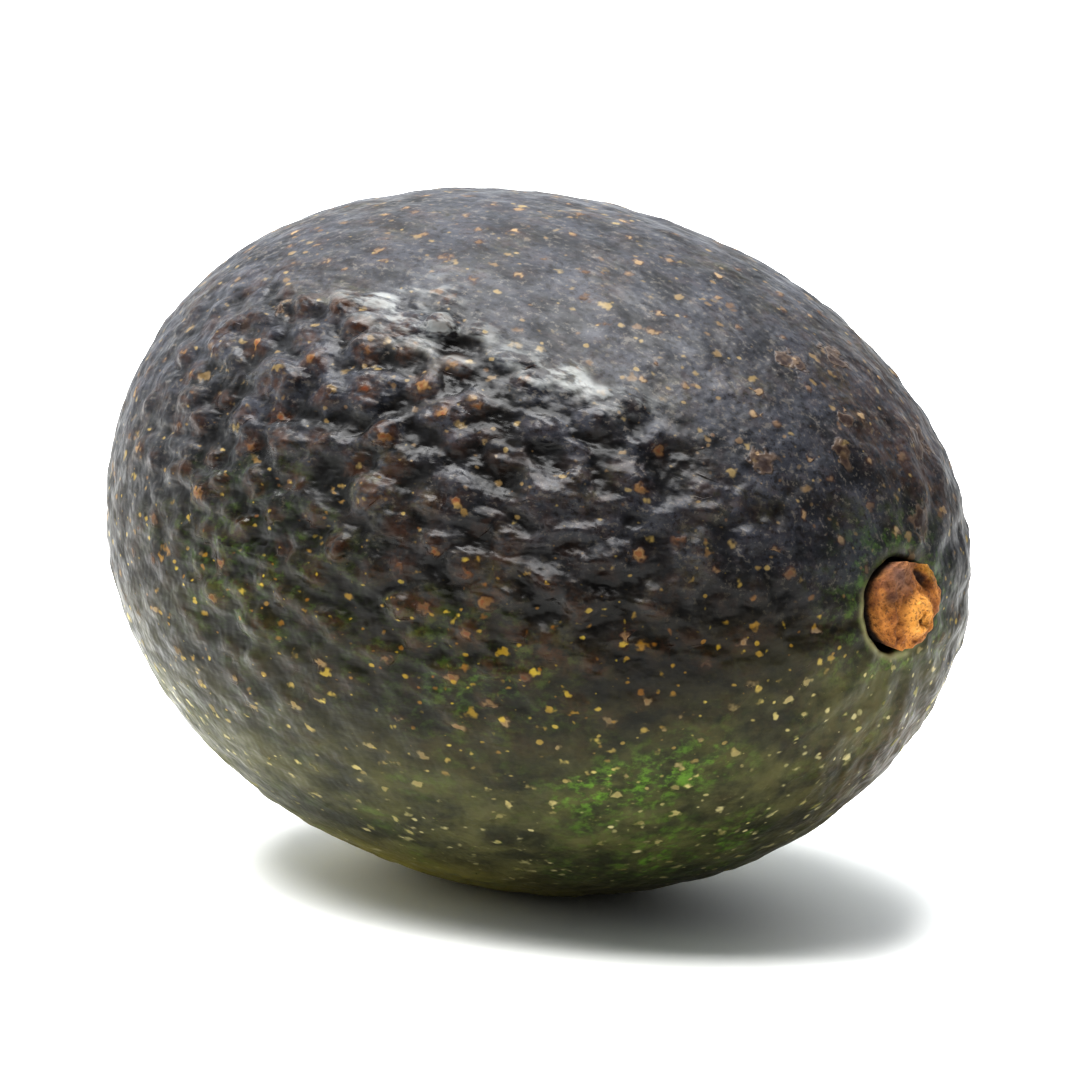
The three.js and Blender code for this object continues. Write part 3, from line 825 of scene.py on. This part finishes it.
calm_dot = add(tree, "ShaderNodeMix", {
    0: dot_pick, 6: linear("#524438"), 7: linear("#85765e"),
}, data_type="RGBA")[2]
dot_colour = add(tree, "ShaderNodeMix", {
    0: rough_amount, 6: calm_dot, 7: rough_dot,
}, data_type="RGBA")[2]
low_dot = add(tree, "ShaderNodeMix", {
    0: dot_pick, 6: linear("#6c6840"), 7: linear("#a09868"),
}, data_type="RGBA")[2]
dot_colour = add(tree, "ShaderNodeMix", {
    0: add(tree, "ShaderNodeMath", {0: low_amount, 1: 0.85}, operation="MULTIPLY")[0],
    6: dot_colour,
    7: low_dot,
}, data_type="RGBA")[2]
colour = add(tree, "ShaderNodeMix", {
    0: add(tree, "ShaderNodeMath", {0: dot, 1: 0.8}, operation="MULTIPLY")[0],
    6: colour,
    7: dot_colour,
}, data_type="RGBA")[2]
pore_size = add(tree, "ShaderNodeMath", {0: dot_size, 1: 0.35}, operation="MULTIPLY")[0]
pore = add(tree, "ShaderNodeMapRange", {
    0: add(tree, "ShaderNodeMath", {
        0: ragged_away, 1: pore_size,
    }, operation="SUBTRACT")[0],
    1: 0.1 * MM,
    2: -0.1 * MM,
}, **SOFT)[0]
pore = add(tree, "ShaderNodeMath", {
    0: add(tree, "ShaderNodeMath", {0: pore, 1: has_dot}, operation="MULTIPLY")[0],
    1: rough_amount,
}, operation="MULTIPLY")[0]
colour = add(tree, "ShaderNodeMix", {
    0: add(tree, "ShaderNodeMath", {0: pore, 1: 0.6}, operation="MULTIPLY")[0],
    6: colour,
    7: linear("#5a2c12"),
}, data_type="RGBA")[2]

# Finer specks, 0.3 to 0.8 mm long, everywhere and most of all below
for speck_spacing, speck_shift, fewest in ((2.4, 0.0, 0.2), (1.7, 3.1, 0.25), (1.1, 7.7, 0.35)):
    moved = add(tree, "ShaderNodeMapping", {
        "Vector": place_socket, "Location": (speck_shift,) * 3, "Scale": (0.6, 1, 1),
    })
    specks = add(tree, "ShaderNodeTexVoronoi", {
        "Vector": moved[0], "Scale": 1 / (speck_spacing * MM), "Randomness": 1.0,
    })
    speck_pick = add(tree, "ShaderNodeSeparateColor", {0: specks["Color"]})
    speck_size = add(tree, "ShaderNodeMapRange", {
        0: speck_pick[0], 1: fewest, 2: 1.0, 3: 0.0, 4: 0.17,
    }, **SOFT)[0]
    ragged_distance = add(tree, "ShaderNodeMath", {
        0: specks["Distance"],
        1: add(tree, "ShaderNodeMapRange", {
            0: wobble, 1: 0.3, 2: 0.7, 3: -0.09, 4: 0.09,
        }, **SOFT)[0],
    }, operation="ADD")[0]
    speck = add(tree, "ShaderNodeMapRange", {
        0: add(tree, "ShaderNodeMath", {
            0: ragged_distance, 1: speck_size,
        }, operation="SUBTRACT")[0],
        1: 0.08,
        2: -0.08,
    }, **SOFT)[0]
    speck_share = add(tree, "ShaderNodeMath", {
        0: speck,
        1: add(tree, "ShaderNodeMapRange", {
            0: low_amount, 1: 0.0, 2: 1.0, 3: 0.7, 4: 0.85,
        }, **SOFT)[0],
    }, operation="MULTIPLY")[0]
    rough_speck = add(tree, "ShaderNodeMix", {
        0: speck_pick[1], 6: linear("#54402f"), 7: linear("#7b6b48"),
    }, data_type="RGBA")[2]
    warm_speck = add(tree, "ShaderNodeMix", {
        0: speck_pick[1], 6: linear("#70480f"), 7: linear("#a08c2a"),
    }, data_type="RGBA")[2]
    rough_speck = add(tree, "ShaderNodeMix", {
        0: warm_amount,
        6: rough_speck,
        7: warm_speck,
    }, data_type="RGBA")[2]
    low_speck = add(tree, "ShaderNodeMix", {
        0: speck_pick[1], 6: linear("#6d6a45"), 7: linear("#a89f78"),
    }, data_type="RGBA")[2]
    speck_colour = add(tree, "ShaderNodeMix", {
        0: low_amount, 6: rough_speck, 7: low_speck,
    }, data_type="RGBA")[2]
    colour = add(tree, "ShaderNodeMix", {
        0: speck_share, 6: colour, 7: speck_colour,
    }, data_type="RGBA")[2]

# Scabs: brown, crusty spots with a paler rim
scab_edge = add(tree, "ShaderNodeMath", {
    0: add(tree, "ShaderNodeAttribute", {}, attribute_name="scab")["Fac"],
    1: add(tree, "ShaderNodeMapRange", {
        0: add(tree, "ShaderNodeTexNoise", {
            "Vector": place_socket, "Scale": 1 / (1.6 * MM), "Detail": 2.0, "Roughness": 0.55,
        })["Fac"],
        1: 0.3,
        2: 0.7,
        3: -0.35,
        4: 0.35,
    }, **SOFT)[0],
}, operation="ADD")[0]
scab_share = add(tree, "ShaderNodeMapRange", {0: scab_edge, 1: 0.45, 2: 0.75}, **SOFT)[0]
scab_shade = add(tree, "ShaderNodeMix", {
    0: add(tree, "ShaderNodeMapRange", {0: scab_edge, 1: 0.6, 2: 1.0}, **SOFT)[0],
    6: linear("#54463a"),
    7: linear("#2b1e19"),
}, data_type="RGBA")[2]
colour = add(tree, "ShaderNodeMix", {
    0: add(tree, "ShaderNodeMath", {0: scab_share, 1: 0.8}, operation="MULTIPLY")[0],
    6: colour,
    7: scab_shade,
}, data_type="RGBA")[2]

# Dry wax rubbed white on the highest places, and a painted highlight: whitish grey along the upper
# edge of the rough band and in a patch above it
wax_and_highlight_grain = add(tree, "ShaderNodeMath", {
    0: add(tree, "ShaderNodeMapRange", {0: streaky, 1: 0.42, 2: 0.6}, **SOFT)[0],
    1: add(tree, "ShaderNodeMapRange", {0: relief_amount, 1: -0.5, 2: 0.1}, **SOFT)[0],
}, operation="MULTIPLY")[0]
wax_and_highlight_share = add(tree, "ShaderNodeMath", {
    0: wax_and_highlight_amount, 1: wax_and_highlight_grain,
}, operation="MULTIPLY")[0]
colour = add(tree, "ShaderNodeMix", {
    0: add(tree, "ShaderNodeMath", {0: wax_and_highlight_share, 1: 0.55}, operation="MULTIPLY")[0],
    6: colour,
    7: linear("#8f918f"),
}, data_type="RGBA")[2]
colour = add(tree, "ShaderNodeMix", {
    0: lip_amount, 6: colour, 7: linear("#7b7a5c"),
}, data_type="RGBA")[2]
# painted shade: near black down in the seat round the stem button
colour = add(tree, "ShaderNodeMix", {
    0: seat_amount, 6: colour, 7: linear("#140c08"),
}, data_type="RGBA")[2]

# Bump, as real heights: wrinkles of 1.5 mm along the fruit, pebbly leather grain of 0.7 mm,
# fine growth streaks, and the cork dots standing on their knobs
grain = add(tree, "ShaderNodeTexNoise", {
    "Vector": place_socket, "Scale": 1 / (0.7 * MM), "Detail": 0.0,
})["Fac"]
wrinkles = add(tree, "ShaderNodeTexNoise", {
    "Vector": add(tree, "ShaderNodeMapping", {"Vector": place_socket, "Scale": (1 / 1.7, 1, 1)})[0],
    "Scale": 1 / (1.9 * MM),
    "Detail": 1.5,
    "Roughness": 0.5,
})["Fac"]
streaks = add(tree, "ShaderNodeTexNoise", {
    "Vector": add(tree, "ShaderNodeMapping", {"Vector": place_socket, "Scale": (1 / 14, 1, 1)})[0],
    "Scale": 1 / (0.45 * MM),
    "Detail": 2,
    "Roughness": 0.55,
})["Fac"]
knob_cap = add(tree, "ShaderNodeMapRange", {0: away, 1: 1.1 * MM, 2: 0.2 * MM}, **SOFT)[0]
wrinkle_height = add(tree, "ShaderNodeMapRange", {
    0: rough_amount, 1: 0.0, 2: 1.0, 3: 0.3 * MM, 4: 0.8 * MM,
}, **SOFT)[0]
height = add(tree, "ShaderNodeMath", {0: wrinkles, 1: wrinkle_height}, operation="MULTIPLY")[0]
knob_rise = add(tree, "ShaderNodeMath", {
    0: knob_cap, 1: rough_amount,
}, operation="MULTIPLY")[0]
for form, rise in (
    (grain, -0.08), (streaks, 0.035), (dot, 0.05), (crease, -0.15), (scab_share, 0.12),
    (knob_rise, 0.12),
):
    height = add(tree, "ShaderNodeMath", {
        0: form, 1: rise * MM, 2: height,
    }, operation="MULTIPLY_ADD")[0]
bump = add(tree, "ShaderNodeBump", {"Height": height, "Strength": 1.0, "Distance": 1.0})

gloss = add(tree, "ShaderNodeMapRange", {
    0: add(tree, "ShaderNodeTexNoise", {
        "Vector": add(tree, "ShaderNodeMapping", {
            "Vector": place_socket, "Scale": (1 / 2, 1, 1),
        })[0],
        "Scale": 1 / (2.0 * MM),
        "Detail": 3,
        "Roughness": 0.55,
    })["Fac"],
    1: 0.3,
    2: 0.7,
    3: 0.42,
    4: 0.62,
}, **SOFT)[0]
for amount, change in (
    (rough_amount, -0.16), (dot, 0.2), (wax_and_highlight_share, 0.15), (seat_amount, 0.4),
):
    gloss = add(tree, "ShaderNodeMath", {
        0: amount, 1: change, 2: gloss,
    }, operation="MULTIPLY_ADD")[0]
surface = add(tree, "ShaderNodeBsdfPrincipled", {
    "Base Color": colour, "Roughness": gloss, "IOR": 1.45, "Specular IOR Level": 0.21,
    "Normal": bump[0],
})
add(tree, "ShaderNodeOutputMaterial", {"Surface": surface[0]})
fruit.data.materials.append(skin_material)

# Stem cork: the dry, cracked stub where the fruit was cut off, orange tan on the fresh break, with
# painted shade, near black, in its hollows and dark brown on its wall down in the seat.
cork_material, tree = new_material("dry_stem_cork")
place_socket = add(tree, "ShaderNodeTexCoord", {})["Object"]
fibres = add(tree, "ShaderNodeTexNoise", {
    "Vector": place_socket, "Scale": 1 / (0.35 * MM), "Detail": 4, "Roughness": 0.65,
})["Fac"]
patches = add(tree, "ShaderNodeTexNoise", {
    "Vector": place_socket, "Scale": 1 / (1.6 * MM), "Detail": 3, "Roughness": 0.55,
})["Fac"]
colour = add(tree, "ShaderNodeMix", {
    0: add(tree, "ShaderNodeMapRange", {0: patches, 1: 0.35, 2: 0.65}, **SOFT)[0],
    6: linear("#84501f"),
    7: linear("#b67c37"),
}, data_type="RGBA")[2]
for name, share, shade in (
    ("grey", 0.85, "#6d5249"), ("stub", 0.85, "#dca24e"), ("rim", 1.0, "#a27a26"),
):
    amount = add(tree, "ShaderNodeAttribute", {}, attribute_name=name)["Fac"]
    colour = add(tree, "ShaderNodeMix", {
        0: add(tree, "ShaderNodeMath", {0: amount, 1: share}, operation="MULTIPLY")[0],
        6: colour,
        7: linear(shade),
    }, data_type="RGBA")[2]
colour = add(tree, "ShaderNodeMix", {
    0: add(tree, "ShaderNodeMapRange", {0: fibres, 1: 0.5, 2: 0.66, 3: 0.0, 4: 0.6}, **SOFT)[0],
    6: colour,
    7: linear("#4c2811"),
}, data_type="RGBA")[2]
colour = add(tree, "ShaderNodeMix", {
    0: add(tree, "ShaderNodeMath", {
        0: add(tree, "ShaderNodeAttribute", {}, attribute_name="stain")["Fac"], 1: 0.8,
    }, operation="MULTIPLY")[0],
    6: colour,
    7: linear("#3f2118"),
}, data_type="RGBA")[2]
# painted shade: near black in the pit and crevice of the crown
colour = add(tree, "ShaderNodeMix", {
    0: add(tree, "ShaderNodeMapRange", {
        0: add(tree, "ShaderNodeAttribute", {}, attribute_name="hollow")["Fac"],
        1: 0.3,
        2: 0.8,
        3: 0.0,
        4: 0.95,
    }, **SOFT)[0],
    6: colour,
    7: linear("#2a0f06"),
}, data_type="RGBA")[2]
# painted shade: dark brown on the button's wall below the skin, down in its seat
colour = add(tree, "ShaderNodeMix", {
    0: add(tree, "ShaderNodeAttribute", {}, attribute_name="side")["Fac"],
    6: colour,
    7: linear("#2e1a0d"),
}, data_type="RGBA")[2]
bump = add(tree, "ShaderNodeBump", {"Height": fibres, "Strength": 1.0, "Distance": 0.7 * MM})
surface = add(tree, "ShaderNodeBsdfPrincipled", {
    "Base Color": colour, "Roughness": 0.8, "IOR": 1.5, "Normal": bump[0],
})
add(tree, "ShaderNodeOutputMaterial", {"Surface": surface[0]})
button.data.materials.append(cork_material)

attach(fruit, "root")
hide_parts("fruit")
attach(button, "root")
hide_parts("stem_button")

# Floor: a large sheet of smooth white board
FLOOR_SIZE = 12.0
clear_selection()
bpy.ops.mesh.primitive_plane_add(size=FLOOR_SIZE, location=(0, 0, 0))
floor = name_piece("floor")
board_material, tree = new_material("white_board")
surface = add(tree, "ShaderNodeBsdfPrincipled", {
    "Base Color": linear("#f2f2f0"), "Roughness": 0.6, "Specular IOR Level": 0.2,
})
add(tree, "ShaderNodeOutputMaterial", {"Surface": surface[0]})
floor.data.materials.append(board_material)

CAMERA_TURN = math.radians(44.3)
CAMERA_RISE = math.radians(11.5)
CAMERA_DISTANCE = 0.8
FRAME_WIDTH = 0.1088  # what the picture's width covers at the fruit, in metres
SENSOR = 36.0
aim = Vector((-0.00065, 0, 0.0349))
back = Vector((
    math.sin(CAMERA_TURN) * math.cos(CAMERA_RISE),
    -math.cos(CAMERA_TURN) * math.cos(CAMERA_RISE),
    math.sin(CAMERA_RISE),
))
right = Vector((math.cos(CAMERA_TURN), math.sin(CAMERA_TURN), 0))
forward = Vector((-math.sin(CAMERA_TURN), math.cos(CAMERA_TURN), 0))


def soft_lamp(name, place, size, power):
    lamp = bpy.data.objects.new(name, bpy.data.lights.new(name, "AREA"))
    bpy.context.scene.collection.objects.link(lamp)
    lamp.data.shape = "SQUARE"
    lamp.data.size = size
    lamp.data.energy = power
    lamp.location = place
    lamp.rotation_mode = "QUATERNION"
    lamp.rotation_quaternion = (Vector((0, 0, 0.03)) - place).to_track_quat("-Z", "Y")


# Light: a white room, brighter behind the fruit than on the side the picture is taken from,
# and one soft lamp overhead, a little to the left
soft_lamp("top_softbox", Vector((0, 0, 0.8)) + forward * 0.03 - right * 0.16, 0.75, 30.0)
world = bpy.data.worlds.new("studio")
bpy.context.scene.world = world
world.use_nodes = True
tree = world.node_tree
room = add(tree, "ShaderNodeTexCoord", {})["Object"]
nearness = add(tree, "ShaderNodeVectorMath", {0: room, 1: tuple(-forward)}, operation="DOT_PRODUCT")
dimmed = add(tree, "ShaderNodeMapRange", {
    0: nearness["Value"], 1: -0.6, 2: 0.8, 3: 2.7, 4: 0.3,
}, **SOFT)[0]
sideways = add(tree, "ShaderNodeVectorMath", {0: room, 1: tuple(right)}, operation="DOT_PRODUCT")
shaded = add(tree, "ShaderNodeMapRange", {
    0: sideways["Value"], 1: 0.1, 2: 0.9, 3: 1.0, 4: 0.35,
}, **SOFT)[0]
strength = add(tree, "ShaderNodeMath", {0: dimmed, 1: shaded}, operation="MULTIPLY")[0]
tree.links.new(strength, tree.nodes["Background"].inputs["Strength"])
tree.nodes["Background"].inputs["Color"].default_value = linear("#eef2f6")

camera = bpy.data.objects.new("camera", bpy.data.cameras.new("camera"))
bpy.context.scene.collection.objects.link(camera)
camera.data.sensor_width = SENSOR
camera.data.lens = SENSOR * CAMERA_DISTANCE / FRAME_WIDTH
camera.data.clip_start = 0.01
camera.data.clip_end = 50
camera.location = aim + back * CAMERA_DISTANCE
camera.rotation_mode = "QUATERNION"
camera.rotation_quaternion = back.to_track_quat("Z", "Y")
bpy.context.scene.camera = camera
bpy.context.scene.view_settings.view_transform = "Standard"
bpy.context.scene.view_settings.gamma = 0.76  # the contrast that a photograph is printed with
